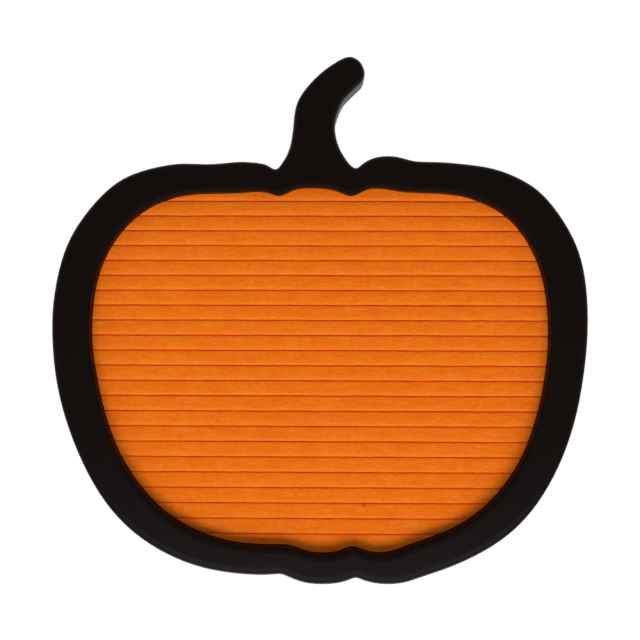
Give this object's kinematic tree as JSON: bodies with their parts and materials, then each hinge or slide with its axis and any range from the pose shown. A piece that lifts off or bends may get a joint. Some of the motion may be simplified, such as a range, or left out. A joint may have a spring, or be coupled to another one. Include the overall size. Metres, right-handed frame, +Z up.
{
  "type": "felt letter board",
  "caption": "Wall-hung letter board in the outline of a pumpkin: a rebated black frame with a curved stem round a grooved felt panel.",
  "frame": {"origin": "the middle notch of the sawtooth hanger, in the plane of the frame's back", "axes": "board upright: +X to the right as seen from the front, +Y into the wall, out of the frame's back, +Z up towards the stem"},
  "size_m": [0.254, 0.0203, 0.2501],
  "materials": {
    "frame_paint": "MDF, matte black lacquer",
    "felt": "orange needled polyester felt",
    "core_board": "bare MDF, milled",
    "backing_board": "hardboard, smooth side out",
    "point_steel": "bright rolled strip",
    "hanger_zinc": "zinc-plated pressed steel"
  },
  "bodies": {
    "root": {"frame": "frame_paint", "felt_sheet": "felt", "groove_board": "core_board", "backing_panel": "backing_board", "retaining_point_01": "point_steel", "retaining_point_02": "point_steel", "retaining_point_03": "point_steel", "retaining_point_04": "point_steel", "retaining_point_05": "point_steel", "retaining_point_06": "point_steel", "retaining_point_07": "point_steel", "retaining_point_08": "point_steel", "retaining_point_09": "point_steel", "retaining_point_10": "point_steel", "retaining_point_11": "point_steel", "retaining_point_12": "point_steel", "sawtooth_hanger": "hanger_zinc", "hanger_nail_left": "hanger_zinc", "hanger_nail_right": "hanger_zinc"}
  },
  "joints": []
}
